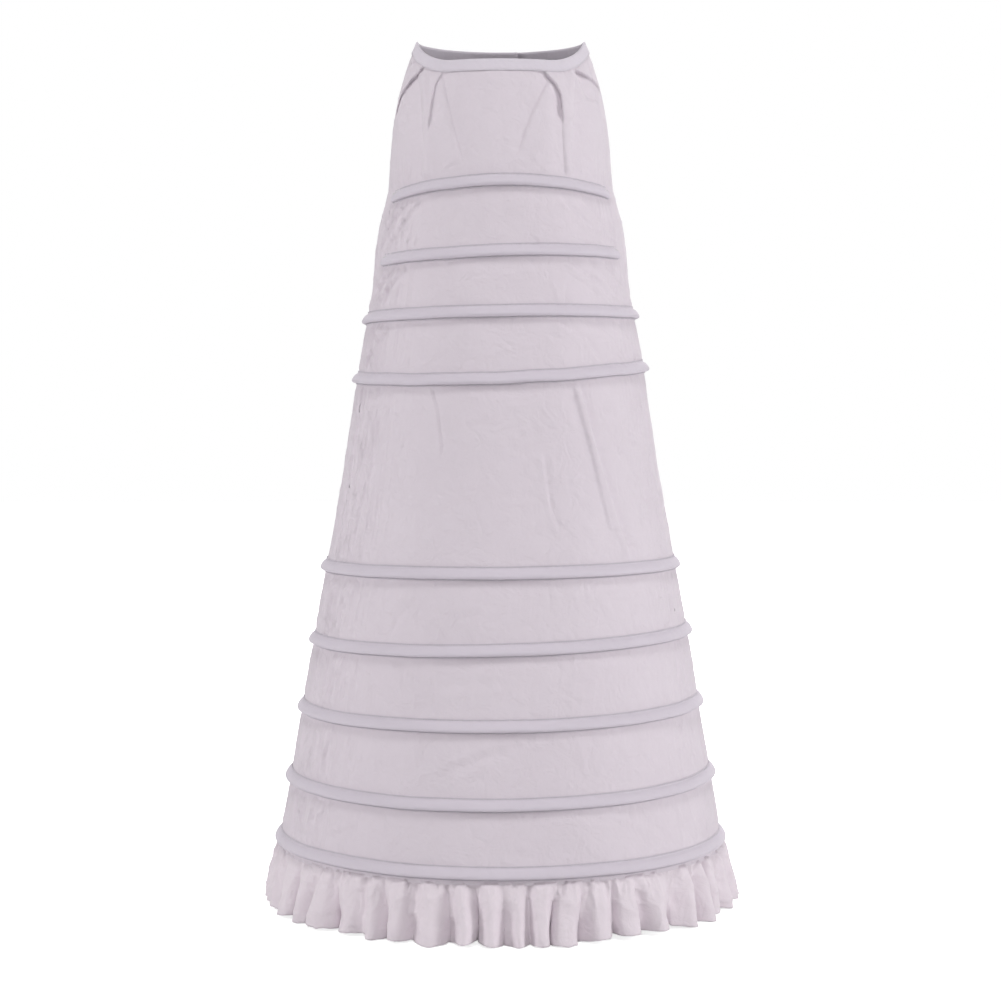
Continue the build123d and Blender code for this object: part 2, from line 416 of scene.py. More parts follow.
# %% Creases and dents, in metres and degrees
LEFT_CRINKLE, RIGHT_CRINKLE, BACK_CRINKLE = 0.0040, 0.0024, 0.0012
LEFT_AT, LEFT_SPREAD = -62, 17
RIGHT_AT, RIGHT_SPREAD = 68, 13
BACK_FROM, BACK_RUN = 84, 20
CRINKLE_TOP, CRINKLE_FADE = YOKE_Z + 0.03, 0.05
HELD_CRINKLE = 0.08
DENT_DEPTH = 0.0008
STREAKS = [(8, 0.11, 0.022, 11), (-32, 0.09, 0.022, 13), (84, 0.13, 0.020, 15), (38, 0.08, 0.024, 17)]
STREAK_DEPTH = 0.0013
STREAK_REACH, STREAK_HEIGHT, STREAK_START = 1.2, 1.8, 0.6


def crinkle(angle, z, loose):
    """Sharp upright creases, deepest beside the side seams."""
    a, b = (angle / 360.0) % 1.0, z / WAIST_Z
    depth = LEFT_CRINKLE * np.exp(-(((angle - LEFT_AT) / LEFT_SPREAD) ** 2))
    depth += RIGHT_CRINKLE * np.exp(-(((angle - RIGHT_AT) / RIGHT_SPREAD) ** 2))
    depth += BACK_CRINKLE * np.clip((np.abs(angle) - BACK_FROM) / BACK_RUN, 0, 1)
    lines = ridges(a, b, 190, 20, seed=3) + 0.7 * ridges(a, b, 290, 34, seed=4)
    lines += 0.6 * field(a, b, 150, 16, seed=5)
    below = np.clip((CRINKLE_TOP - z) / CRINKLE_FADE, 0, 1)
    return lines * depth * (HELD_CRINKLE + (1 - HELD_CRINKLE) * loose) * below


def dents(angle, z):
    a, b = (angle / 360.0) % 1.0, z / WAIST_Z
    return DENT_DEPTH * (field(a, b, 26, 14, seed=6) + 0.6 * field(a, b, 60, 30, seed=7))


def streaks(across, z, lean, long, short, seed):
    """Fine creases that run one way, in patches, as cloth keeps from being folded."""
    c, s = math.cos(math.radians(lean)), math.sin(math.radians(lean))
    along = (across * c + z * s) / STREAK_REACH
    over = (z * c - across * s + STREAK_START) / STREAK_HEIGHT
    fine = ridges(along, over, round(STREAK_REACH / long), round(STREAK_HEIGHT / short), seed)
    patch = field(along, over, 9, 12, seed + 1)
    return fine * np.clip(patch, 0, 1)


# %% [markdown]
# Last come the larger forms: the back is gathered into the band, the cloth stands out over
# the hips, each side seam pulls in a little, and the widest space between hoops is hollow.

# %% Gathers, hips and seams, in metres and degrees
HIP_OUT, HIP_AT, HIP_SPREAD, HIP_Z, HIP_HEIGHT = 0.0065, 98, 22, 0.85, 0.055
GATHERS, GATHER_FROM, GATHER_RUN, GATHER_END = 34, 90, 15, 8
GATHER_DEPTH, GATHER_CURVE, SMALL_GATHER_DEPTH = 0.0036, 1.2, 0.0014
SEAM_DENT, SEAM_WIDTH = 0.0006, 0.35
HOLLOW_DEPTH = 0.0018
BACK_SHIFT = 2.0


def gathers(angle, z, up):
    """Upright gathers of the back gores, deepest at the waist seam; up is 1 there."""
    a, b, side = (angle / 360.0) % 1.0, z / WAIST_Z, np.abs(angle)
    share = np.clip((side - GATHER_FROM) / GATHER_RUN, 0, 1) * np.clip((180 - side) / GATHER_END, 0, 1)
    wave = np.cos(np.radians(GATHERS * side) + 1.1 * field(a, b, 20, 4, seed=9))
    small = field(a, b, 260, 9, seed=10)
    return share * (GATHER_DEPTH * up**GATHER_CURVE * wave + SMALL_GATHER_DEPTH * small * up**2)


def relief(angle, z):
    """In and out movement of the gores' cloth, in metres."""
    across, side = plan(angle, z)[0], np.abs(angle)
    front = np.cos(np.radians(angle)) > 0
    up = np.clip((z - YOKE_Z) / (waist_line(angle, SEAM_Z) - YOKE_Z), 0, 1)
    loose = 1 - near_hoops(angle, z)
    turned = across + BACK_SHIFT * (1 - front)
    fine = sum(streaks(turned, z, *line) for line in STREAKS) * STREAK_DEPTH
    out = drag_lines(across, z, front) * loose + crinkle(angle, z, loose) + dents(angle, z) * loose
    out += fine * loose * (1 - 0.5 * up)
    out += HIP_OUT * np.exp(-(((side - HIP_AT) / HIP_SPREAD) ** 2) - ((z - HIP_Z) / HIP_HEIGHT) ** 2)
    out += gathers(angle, z, up)
    out -= SEAM_DENT * np.exp(-(((side - SIDE_SEAM) / SEAM_WIDTH) ** 2))
    low, high = HOOPS[4][0], HOOPS[3][0]
    hollow = np.sin(np.pi * np.clip((z - low) / (high - low), 0, 1))
    return out * band_pinch(angle, z) - HOLLOW_DEPTH * hollow


sample = relief(np.linspace(-180, 180, 721), np.full(721, 0.55)) / MM
print("relief half way up, in mm: from", sample.min().round(1), "to", sample.max().round(1))

# %% [markdown]
# A piece of cloth starts as rows of points. The mesh made from them also gets a UV map in
# metres, so that its weave has the same fineness everywhere.

# %% Grid to mesh
def grid_mesh(name, points, uv, closed=False):
    """A mesh from rows of points, with a UV map that holds real distances in metres."""
    rows, columns = points.shape[:2]
    faces = []
    for r in range(rows - 1):
        for c in range(columns if closed else columns - 1):
            d = (c + 1) % columns
            faces.append((r * columns + c, r * columns + d, (r + 1) * columns + d, (r + 1) * columns + c))
    mesh = bpy.data.meshes.new(name)
    mesh.from_pydata(points.reshape(-1, 3).tolist(), [], faces)
    values = uv.reshape(-1, 2)[np.array(faces)]
    if closed:
        wrap = np.array([f[1] % columns == 0 for f in faces])
        step = uv[0, 1, 0] - uv[0, 0, 0]
        values[wrap, 1, 0] = values[wrap, 0, 0] + step
        values[wrap, 2, 0] = values[wrap, 3, 0] + step
    layer = mesh.uv_layers.new(name="cloth")
    layer.data.foreach_set("uv", values.reshape(-1).astype(np.float32))
    for polygon in mesh.polygons:
        polygon.use_smooth = True
    obj = bpy.data.objects.new(name, mesh)
    bpy.context.scene.collection.objects.link(obj)
    return obj


def thicken(obj, thickness, offset=-1.0):
    solid = obj.modifiers.new("thickness", "SOLIDIFY")
    solid.thickness = thickness
    solid.offset = offset
    return obj


def place(angle, z, out):
    """Stacks the skirt's points for arrays of angle, height and distance out."""
    x, y = plan(angle, z, out)
    above_seam = z > RUFFLE_SEAM_Z + 0.001 * MM
    return np.stack([x, y, z + hang(angle, z) * above_seam], axis=-1)


# %% [markdown]
# The front gore takes the angles between the side seams, and each back gore the rest of its
# side. Rows are closer together in the yoke, where pleats and gathers need them.

# %% Make the gores
TUCK = 0.004
MID_SKIRT_Z = 0.64
SLIT_FADE = 0.05
PLEATED_FROM = 16
PANEL_UV_RADIUS = 0.25


def gore(name, angle, low_heights, high_rows):
    """One panel on a grid: columns at the given angles, rows at heights and up the yoke."""
    up = np.linspace(0, 1, high_rows)
    z_low = np.repeat(low_heights[:, None], len(angle), axis=1)
    z_high = YOKE_Z + up[:, None] * (waist_line(angle, SEAM_Z) - YOKE_Z)[None, :]
    z = np.vstack([z_low, z_high, z_high[-1:] + TUCK / 2, z_high[-1:] + TUCK])
    angle = np.repeat(angle[None, :], z.shape[0], axis=0)
    slit = np.clip((z - YOKE_Z) / SLIT_FADE, 0, 1) * SLIT_HALF_ANGLE
    angle = np.clip(angle, -180 + slit, 180 - slit)
    points = place(angle, z, relief(angle, z))
    points[..., 1] -= pleats(angle, z)
    uv = np.stack([np.radians(angle) * PANEL_UV_RADIUS, z], axis=-1)
    return grid_mesh(name, points, uv)


def two_runs(low_rows, high_rows):
    """Heights from the ruffle seam to the yoke, with their own spacing below and above."""
    low = np.linspace(RUFFLE_SEAM_Z, MID_SKIRT_Z, low_rows, endpoint=False)
    return np.concatenate([low, np.linspace(MID_SKIRT_Z, YOKE_Z, high_rows, endpoint=False)])


middle = np.linspace(-PLEATED_FROM, PLEATED_FROM, 44, endpoint=False)
right_part = np.linspace(PLEATED_FROM, SIDE_SEAM, 156)
front_angles = np.concatenate([-right_part[::-1], middle[1:], right_part])
front_cloth = gore("front_panel_cloth", front_angles, two_runs(112, 84), 76)
back_angles = np.linspace(SIDE_SEAM, 180.0, 230)
left_cloth = gore("back_left_panel_cloth", back_angles, two_runs(96, 60), 60)
right_cloth = gore("back_right_panel_cloth", -back_angles[::-1], two_runs(96, 60), 60)
panels = [front_cloth, left_cloth, right_cloth]
print("panel faces:", [len(p.data.polygons) for p in panels])

# %% [markdown]
# The centre back seam is left open below the band, so that the skirt can be put on. A narrow
# strip behind the slit keeps it from gaping.

# %% Placket strip
PLACKET_ANGLE, PLACKET_BELOW, PLACKET_IN, PLACKET_RIPPLE = 7.0, 0.014, 0.0016, 0.0003
PLACKET_UV_RADIUS = 0.1


def placket(columns, rows):
    angle = np.linspace(180 - PLACKET_ANGLE, 180 + PLACKET_ANGLE, columns)
    z = np.linspace(YOKE_Z - PLACKET_BELOW, SEAM_Z + TUCK / 2, rows)
    z, angle = np.repeat(z[:, None], columns, axis=1), np.repeat(angle[None, :], rows, axis=0)
    ripple = PLACKET_RIPPLE * field(angle / 360, z, 300, 30, seed=19)
    uv = np.stack([np.radians(angle) * PLACKET_UV_RADIUS, z], axis=-1)
    return grid_mesh("placket_cloth", place(angle, z, ripple - PLACKET_IN), uv)


placket_cloth = placket(16, 60)
print("placket faces:", len(placket_cloth.data.polygons))

# %% [markdown]
# ## Casings
# A casing is a strip of the same cotton, stitched above and below its hoop, so that it
# stands out in a round rib with a flat stitched edge over it and a hard shadow under it.
# One section is swept round the skirt by formula, so that it can swell over a
# joiner sleeve and pucker at its stitches.

# %% Casing section, from its upper edge to its lower edge: (out, up) in mm
CASING_SECTION = [
    (0.3, 9.0), (1.0, 8.9), (1.1, 8.2), (0.5, 7.5), (0.9, 6.7), (1.0, 5.7), (2.5, 5.0), (4.1, 3.8),
    (5.3, 2.1), (6.2, 0.3), (6.9, -1.5), (7.1, -3.2), (6.4, -4.7), (4.7, -5.8), (2.4, -6.4),
    (0.5, -6.7), (1.0, -7.3), (1.1, -8.1), (0.3, -8.4),
]
UPPER_STITCH, LOWER_STITCH = (0.6, 7.5), (1.1, -7.8)
UV_STRETCH = 1.6
TAB_FROM = 0.0055
print("casing height:", CASING_SECTION[0][1] - CASING_SECTION[-1][1], "mm")

# %% Make the casings
JOINER_BULGE, JOINER_ANGLE = 0.28, 6.0
SIZE_WANDER, RISE_WANDER = 0.06, 0.0005
TAB_PUCKER, RIB_PUCKER, RISE_PUCKER = 0.00030, 0.00015, 0.0002
END_TAPER, END_CLOSE, END_OVER = 12.0, 0.7, 0.8
END_SIZE, END_CURVE, END_SHUT = 0.62, 0.7, 0.08


def casing_size(number, angle, slow):
    """How full the casing is: fuller over a joiner, and tapered to a short casing's ends."""
    near_joiner = np.exp(-(((180 - np.abs(angle)) / JOINER_ANGLE) ** 4))
    size = 1.0 + SIZE_WANDER * slow + JOINER_BULGE * near_joiner * (number > SHORT_HOOPS)
    if number <= SHORT_HOOPS:
        left_over = SIDE_SEAM + END_OVER - np.abs(angle)
        size = size * (END_SIZE + (1 - END_SIZE) * np.clip(left_over / END_TAPER, 0, 1) ** END_CURVE)
        size = size * np.clip(left_over / END_CLOSE, END_SHUT, 1)
    return size


def on_casing(number, angle, out, up):
    """Points of a casing's cloth, for arrays of angle and of section place in metres."""
    hoop = HOOPS[number - 1]
    a = (angle / 360.0) % 1.0
    slow = field(a, a * 0, 30, 1, seed=40 + number)
    pucker = field(a, 0.5 + up * 40, 300, 3, seed=20 + number)
    out = out * casing_size(number, angle, slow)
    out = out + TAB_PUCKER * pucker * (np.abs(up) > TAB_FROM) + RIB_PUCKER * pucker
    z = hoop[0] + up + RISE_WANDER * slow + RISE_PUCKER * pucker
    x, y = plan(angle, z, out)
    return np.stack([x, y, z + hang(angle, np.full_like(z, hoop[0]))], axis=-1)


def casing_angles(number, columns):
    if number > SHORT_HOOPS:
        return np.linspace(-180.0, 180.0, columns, endpoint=False)
    end = SIDE_SEAM + END_OVER
    return np.concatenate([[-end], np.linspace(-end + END_CLOSE, end - END_CLOSE, columns), [end]])


def casing(number, columns):
    section = np.array(CASING_SECTION[::-1]) * MM
    angle = np.repeat(casing_angles(number, columns)[None, :], len(section), axis=0)
    points = on_casing(number, angle, section[:, 0:1], section[:, 1:2] + angle * 0)
    along = np.radians(angle) * flare_radius(HOOPS[number - 1][0])
    across = np.repeat(section[:, 1:2] * UV_STRETCH, angle.shape[1], axis=1)
    uv = np.stack([along, across], axis=-1)
    strip = grid_mesh(f"casing_{number}_cloth", points, uv, closed=number > SHORT_HOOPS)
    return thicken(strip, CLOTH)


numbers = range(1, len(HOOPS) + 1)
casings = [casing(n, 520 if n > SHORT_HOOPS else 240) for n in numbers]
print("casings:", [c.name for c in casings])

# %% [markdown]
# ## Hoops inside the casings
# The steels, joiners and tips keep their own solid shape. They only follow the small lean of
# the casing that holds them, so each is a copy of the frame's piece moved up or down.


# %% Steels, joiners and tips
def lean_with_hoop(node, hoop):
    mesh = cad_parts[node].data.copy()
    co = np.zeros(len(mesh.vertices) * 3)
    mesh.vertices.foreach_get("co", co)
    co = co.reshape(-1, 3)
    angle = np.degrees(np.arctan2(co[:, 0], -co[:, 1]))
    co[:, 2] += hang(angle, np.full(len(co), hoop[0]))
    mesh.vertices.foreach_set("co", co.reshape(-1))
    piece = bpy.data.objects.new(node + "_hung", mesh)
    bpy.context.scene.collection.objects.link(piece)
    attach(piece, "root")
    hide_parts(node)
    return piece


steels, sleeves = [], []
for number, hoop in enumerate(HOOPS, start=1):
    steels.append(lean_with_hoop(f"hoop_steel_{number}", hoop))
    kind = "tips" if number <= SHORT_HOOPS else "joiner"
    sleeves.append(lean_with_hoop(f"hoop_{kind}_{number}", hoop))
print("steels:", len(steels), "sleeves:", len(sleeves))

# %% [markdown]
# ## The ruffle
# A strip about a quarter longer than its seam is drawn up on a thread. At the seam there are
# many small gathers, and lower down they join into fewer, deeper folds with an uneven edge.
# A phase that runs unevenly round the hem gives folds of uneven width, and random values for
# each fold make one flat and the next one full.

# %% Ruffle folds
RUFFLE_WAVES = 48
FULL_TURN = 2 * math.pi
CROWDING = ((4, 0.9), (12, 0.6))
WIDE_DRIFT, FINE_DRIFT = 1.9, 0.9
FOLD_BLEND = 0.16
FOLD_SKEW, FOLD_LEAN = 0.75, 0.020
FOLD_SIZES = (0.35, 1.35)
TOP_FOLD, HEM_FOLD = 0.0012, 0.0125
SWING, CREASE, CREASE_CURVE, CREASE_SET = 0.62, 0.45, 0.7, 0.75


def per_fold(phase, low, high, seed):
    """One random value for each fold, blended over the groove between two folds."""
    values = np.random.default_rng(seed).uniform(low, high, RUFFLE_WAVES)
    at = phase / FULL_TURN
    fold_number = np.floor(at).astype(int)
    blend = ease(np.clip((at - fold_number) / FOLD_BLEND, 0, 1))
    now, before = values[fold_number % RUFFLE_WAVES], values[(fold_number - 1) % RUFFLE_WAVES]
    return before * (1 - blend) + now * blend


def fold_phase(turn, down):
    """Goes up by a full turn for each fold, faster where the folds are narrow."""
    a = turn / FULL_TURN
    phase = RUFFLE_WAVES * turn + sum(much * np.sin(times * turn) for times, much in CROWDING)
    phase = phase + WIDE_DRIFT * field(a, a * 0, 21, 1, seed=60)
    return phase + FINE_DRIFT * field(a, down * 0.6, 50, 2, seed=67)


def fold_out(phase, open_out):
    """How far the folds stand out, in metres; open_out is 0 at the seam and 1 at the hem."""
    skew = per_fold(phase, -FOLD_SKEW, FOLD_SKEW, seed=68)
    crease = CREASE * (np.abs(np.sin(phase / 2)) ** CREASE_CURVE - CREASE_SET)
    swing = SWING * np.sin(phase - math.pi / 2 + skew * np.sin(phase))
    size = per_fold(phase, *FOLD_SIZES, seed=61)
    return (TOP_FOLD + HEM_FOLD * open_out) * size * (swing + crease)


test_turns = np.linspace(0, FULL_TURN, 2000)
test_folds = fold_out(fold_phase(test_turns, np.ones(2000)), 1.0) / MM
print("hem folds, in mm: from", test_folds.min().round(1), "to", test_folds.max().round(1))

# %% [markdown]
# Small gathers fade from the seam down, short creases run down from them, and the hem is a
# raw edge that is not quite level.

# %% Make the ruffle
SMALL_GATHER, SMALL_FADE = 0.0026, 1.6
SEAM_CREASE, SEAM_CREASE_FADE, LONG_CREASE, DENT = 0.0024, 0.75, 0.0016, 0.0024
TOP_IN, HEM_OUT, FLARE_CURVE = 0.0008, 0.001, 0.6
OPEN_FROM, OPEN_CURVE = 0.02, 0.7
SIDE_SWAY = 0.008
HEM_LOWEST, HEM_UNEVEN, HEM_RAGGED = 0.0006, 0.0034, 0.0008
FLOOR_CLEARANCE = 0.0004
SEAM_TUCK = 0.003


def small_creases(a, down):
    short = SEAM_CREASE * (1 - SEAM_CREASE_FADE * down) * (ridges(a, down, 170, 2, seed=64) - 0.3)
    return short + LONG_CREASE * ridges(a, down, 90, 3, seed=69)


def raw_hem(a):
    """Height of the cut edge, in metres."""
    uneven = HEM_UNEVEN * (1 + field(a, a * 0, 60, 1, seed=65))
    return HEM_LOWEST + uneven + HEM_RAGGED * field(a, a * 0, 400, 1, seed=70)


def ruffle_place(turn, down):
    """Points of the ruffle: turn in radians, down from 0 at the seam to 1 at the hem."""
    a = turn / FULL_TURN
    phase = fold_phase(turn, down)
    open_out = np.clip((down - OPEN_FROM) / (1 - OPEN_FROM), 0, 1) ** OPEN_CURVE
    top_radius = flare_radius(RUFFLE_SEAM_Z) - TOP_IN
    radius = top_radius + (HEM_RADIUS + HEM_OUT - top_radius) * down**FLARE_CURVE
    radius = radius + fold_out(phase, open_out) + DENT * field(a, down, 130, 4, seed=63) * open_out
    radius = radius + small_creases(a, down) * np.clip(down * 12, 0, 1)
    radius = radius + SMALL_GATHER * (1 - down) ** SMALL_FADE * field(a, down * 0.4, 340, 2, seed=62)
    radius = np.where(down > 0, radius, top_radius)
    lean = per_fold(phase, -FOLD_LEAN, FOLD_LEAN, seed=66) * (0.5 + 0.5 * np.sin(phase))
    turn = turn + (lean - SIDE_SWAY * np.sin(phase)) * open_out
    z = RUFFLE_SEAM_Z * (1 - down) + down * np.maximum(raw_hem(a), FLOOR_CLEARANCE)
    z = z + np.where(down > 0, 0.0, SEAM_TUCK)
    return np.stack([radius * np.sin(turn), -radius * np.cos(turn), z], axis=-1)


RUFFLE_COLUMNS, RUFFLE_ROWS, ROW_CROWDING = 1300, 34, 1.2
RUFFLE_UV = (0.56, 0.075)
hem_turns = np.linspace(0, FULL_TURN, RUFFLE_COLUMNS, endpoint=False)
turns = np.repeat(hem_turns[None, :], RUFFLE_ROWS, axis=0)
downs = np.linspace(1, 0, RUFFLE_ROWS)[:, None] ** ROW_CROWDING
downs = np.repeat(downs, RUFFLE_COLUMNS, axis=1)
ruffle_uv = np.stack([turns * RUFFLE_UV[0], (1 - downs) * RUFFLE_UV[1]], axis=-1)
ruffle = grid_mesh("ruffle_cloth", ruffle_place(turns, downs), ruffle_uv, closed=True)
thicken(ruffle, CLOTH, 0.0)
print("ruffle faces:", len(ruffle.data.polygons))

# %% [markdown]
# ## The waistband
# A straight strip folded over the top edge of the panels. Its section is a soft oblong, with
# the fold rolled a little at the top, and its outer end laps over the inner one at the back.

# %% Make the waistband
# The strip's section, from its front lower edge over the fold to its back lower edge.
BAND_SECTION = [
    (0.0010, -0.0004), (0.0016, 0.0010), (0.0015, 0.0040), (0.0012, 0.0085), (0.0015, 0.0125),
    (0.0011, 0.0146), (0.0, 0.0152), (-0.0010, 0.0146), (-0.0013, 0.0120), (-0.0012, 0.0040),
    (-0.0012, 0.0),
]
BAND_COLUMNS = 420
BAND_RIPPLE, EDGE_RIPPLE, RIPPLE_FROM = 0.0003, 0.0002, 0.002
BAND_UV_RADIUS = 0.1
NOISE_TURN = 400.0


def lap(angle):
    """How far the band's outer end stands out where it laps over the inner end."""
    start = 180 - LAP_ANGLE - LAP_RUN
    return (BAND_THICKNESS + SEAM_GAP) * np.clip((angle - start) / LAP_RUN, 0, 1)


def band_place(angle, out, up):
    z = waist_line(angle, SEAM_Z) + up
    x, y = plan(angle, z, out + lap(angle))
    return np.stack([x, y, z], axis=-1)


def band_points(columns):
    section = np.array(BAND_SECTION)
    angle = np.linspace(-180 - LAP_ANGLE, 180 + LAP_ANGLE, columns)
    angle = np.repeat(angle[None, :], len(section), axis=0)
    a = (angle / NOISE_TURN) % 1.0
    rows = np.linspace(0, 1, len(section))[:, None] * np.ones_like(a)
    free = np.clip(section[:, 1:2] / RIPPLE_FROM, 0, 1)
    ripple = BAND_RIPPLE * field(a, a * 0, 70, 1, seed=70)
    ripple = ripple + EDGE_RIPPLE * field(a, rows, 160, 2, seed=71) * free
    points = band_place(angle, section[:, 0:1] + ripple, section[:, 1:2])
    length = np.cumsum(np.hypot(*np.diff(section, axis=0, prepend=section[:1]).T))
    length = np.repeat(length[:, None], columns, axis=1)
    return points, np.stack([np.radians(angle) * BAND_UV_RADIUS, length], axis=-1)


band = grid_mesh("waistband_cloth", *band_points(BAND_COLUMNS))
thicken(band, CLOTH)
print("band faces:", len(band.data.polygons))

# %% [markdown]
# ## Stitches and loose threads
# Machine stitches are the same small thread shape set along a seam at an even pitch, which is
# what Geometry Nodes are good at. The tree takes seam lines and returns rows of stitches.


# %% Stitch tree
def new_tree(name, inputs):
    tree = bpy.data.node_groups.new(name, "GeometryNodeTree")
    tree.interface.new_socket("Geometry", in_out="INPUT", socket_type="NodeSocketGeometry")
    for label, kind, value in inputs:
        socket = tree.interface.new_socket(label, in_out="INPUT", socket_type=kind)
        if value is not None:
            socket.default_value = value
    tree.interface.new_socket("Geometry", in_out="OUTPUT", socket_type="NodeSocketGeometry")
    return tree, tree.nodes.new("NodeGroupInput"), tree.nodes.new("NodeGroupOutput")


def finish_tree(tree, source, group_in, group_out):
    real = tree.nodes.new("GeometryNodeRealizeInstances")
    paint = tree.nodes.new("GeometryNodeSetMaterial")
    tree.links.new(source, real.inputs["Geometry"])
    tree.links.new(real.outputs["Geometry"], paint.inputs["Geometry"])
    tree.links.new(group_in.outputs["Material"], paint.inputs["Material"])
    tree.links.new(paint.outputs["Geometry"], group_out.inputs["Geometry"])


def random_value(tree, kind, low, high, seed):
    node = tree.nodes.new("FunctionNodeRandomValue")
    node.data_type = kind
    lows = [i for i in node.inputs if i.name == "Min" and i.enabled]
    highs = [i for i in node.inputs if i.name == "Max" and i.enabled]
    lows[0].default_value = low
    highs[0].default_value = high
    node.inputs["Seed"].default_value = seed
    return [o for o in node.outputs if o.enabled][0]


stitch_tree, st_in, st_out = new_tree(
    "stitch_row",
    [
        ("Pitch", "NodeSocketFloat", 0.003),
        ("Length", "NodeSocketFloat", 0.0024),
        ("Thread", "NodeSocketFloat", 0.0002),
        ("Material", "NodeSocketMaterial", None),
    ],
)
to_curve = stitch_tree.nodes.new("GeometryNodeMeshToCurve")
resample = stitch_tree.nodes.new("GeometryNodeResampleCurve")
resample.mode = "LENGTH"
thread_shape = stitch_tree.nodes.new("GeometryNodeMeshCylinder")
thread_shape.inputs["Vertices"].default_value = 4
align = stitch_tree.nodes.new("FunctionNodeAlignRotationToVector")
align.axis = "Z"
tangent = stitch_tree.nodes.new("GeometryNodeInputTangent")
sew = stitch_tree.nodes.new("GeometryNodeInstanceOnPoints")
stitch_tree.links.new(st_in.outputs["Geometry"], to_curve.inputs["Mesh"])
stitch_tree.links.new(to_curve.outputs["Curve"], resample.inputs["Curve"])
stitch_tree.links.new(st_in.outputs["Pitch"], resample.inputs["Length"])
stitch_tree.links.new(st_in.outputs["Length"], thread_shape.inputs["Depth"])
stitch_tree.links.new(st_in.outputs["Thread"], thread_shape.inputs["Radius"])
stitch_tree.links.new(tangent.outputs["Tangent"], align.inputs["Vector"])
stitch_tree.links.new(resample.outputs["Curve"], sew.inputs["Points"])
stitch_tree.links.new(thread_shape.outputs["Mesh"], sew.inputs["Instance"])
stitch_tree.links.new(align.outputs["Rotation"], sew.inputs["Rotation"])
stitch_tree.links.new(random_value(stitch_tree, "FLOAT", 0.85, 1.08, 5), sew.inputs["Scale"])
finish_tree(stitch_tree, sew.outputs["Instances"], st_in, st_out)

# %% [markdown]
# The ruffle's hem is a raw cut edge, so short ends of yarn hang from it. A second tree picks
# places along the hem at random, and turns and scales one bent thread at each.

# %% Loose thread tree
fray_tree, fr_in, fr_out = new_tree(
    "loose_threads",
    [
        ("Pitch", "NodeSocketFloat", 0.004),
        ("Share", "NodeSocketFloat", 0.3),
        ("Thread", "NodeSocketFloat", 0.00012),
        ("Material", "NodeSocketMaterial", None),
    ],
)
hem_curve = fray_tree.nodes.new("GeometryNodeMeshToCurve")
hem_points = fray_tree.nodes.new("GeometryNodeResampleCurve")
hem_points.mode = "LENGTH"
bend = fray_tree.nodes.new("GeometryNodeCurveQuadraticBezier")
bend.inputs["Resolution"].default_value = 4
bend.inputs["Start"].default_value = (0, 0, 0)
bend.inputs["Middle"].default_value = (0.0015, 0.0004, 0.0004)
bend.inputs["End"].default_value = (0.0045, -0.0006, -0.0004)
round_thread = fray_tree.nodes.new("GeometryNodeCurvePrimitiveCircle")
round_thread.inputs["Resolution"].default_value = 4
tube = fray_tree.nodes.new("GeometryNodeCurveToMesh")
fray = fray_tree.nodes.new("GeometryNodeInstanceOnPoints")
picked = fray_tree.nodes.new("FunctionNodeRandomValue")
picked.data_type = "BOOLEAN"
picked.inputs["Seed"].default_value = 11
fray_tree.links.new(fr_in.outputs["Share"], picked.inputs["Probability"])
fray_tree.links.new(fr_in.outputs["Geometry"], hem_curve.inputs["Mesh"])
fray_tree.links.new(hem_curve.outputs["Curve"], hem_points.inputs["Curve"])
fray_tree.links.new(fr_in.outputs["Pitch"], hem_points.inputs["Length"])
fray_tree.links.new(fr_in.outputs["Thread"], round_thread.inputs["Radius"])
fray_tree.links.new(bend.outputs["Curve"], tube.inputs["Curve"])
fray_tree.links.new(round_thread.outputs["Curve"], tube.inputs["Profile Curve"])
fray_tree.links.new(hem_points.outputs["Curve"], fray.inputs["Points"])
fray_tree.links.new(tube.outputs["Mesh"], fray.inputs["Instance"])
fray_tree.links.new([o for o in picked.outputs if o.enabled][0], fray.inputs["Selection"])
turned_by = random_value(fray_tree, "FLOAT_VECTOR", (-0.3, -0.2, 0.0), (0.3, 0.35, 6.28), 12)
fray_tree.links.new(turned_by, fray.inputs["Rotation"])
fray_tree.links.new(random_value(fray_tree, "FLOAT", 0.4, 1.4, 13), fray.inputs["Scale"])
finish_tree(fray_tree, fray.outputs["Instances"], fr_in, fr_out)
print("trees:", stitch_tree.name, fray_tree.name)


# %% Turn seam lines into sewn rows
def lines_object(name, lines):
    """An object that holds open or closed lines of points, for a tree to follow."""
    points, edges = [], []
    for line, closed in lines:
        first = len(points)
        points += [tuple(p) for p in line]
        edges += [(first + i, first + i + 1) for i in range(len(line) - 1)]
        if closed:
            edges.append((len(points) - 1, first))
    mesh = bpy.data.meshes.new(name)
    mesh.from_pydata(points, edges, [])
    obj = bpy.data.objects.new(name, mesh)
    bpy.context.scene.collection.objects.link(obj)
    return obj


def grow_from(name, lines, tree, values):
    """Runs a tree on the lines and keeps its result as a plain mesh."""
    source = lines_object(name, lines)
    grown = source.modifiers.new(tree.name, "NODES")
    grown.node_group = tree
    for item in tree.interface.items_tree:
        if item.item_type == "SOCKET" and item.in_out == "INPUT" and item.name in values:
            grown[item.identifier] = values[item.name]
    seen = source.evaluated_get(bpy.context.evaluated_depsgraph_get())
    mesh = bpy.data.meshes.new_from_object(seen)
    source.modifiers.clear()
    source.data = mesh
    mesh.name = name
    print(name, "faces:", len(mesh.polygons))
    return source


thread_paint = bpy.data.materials.new("sewing_thread")
fray_paint = bpy.data.materials.new("loose_yarn")
STITCH_END, STITCH_INSET, LIFT = 0.2, 0.5, 0.12
STITCH_OUT, STITCH_UP, THREAD_LIFT = 0.0017, 0.0018, 0.0012


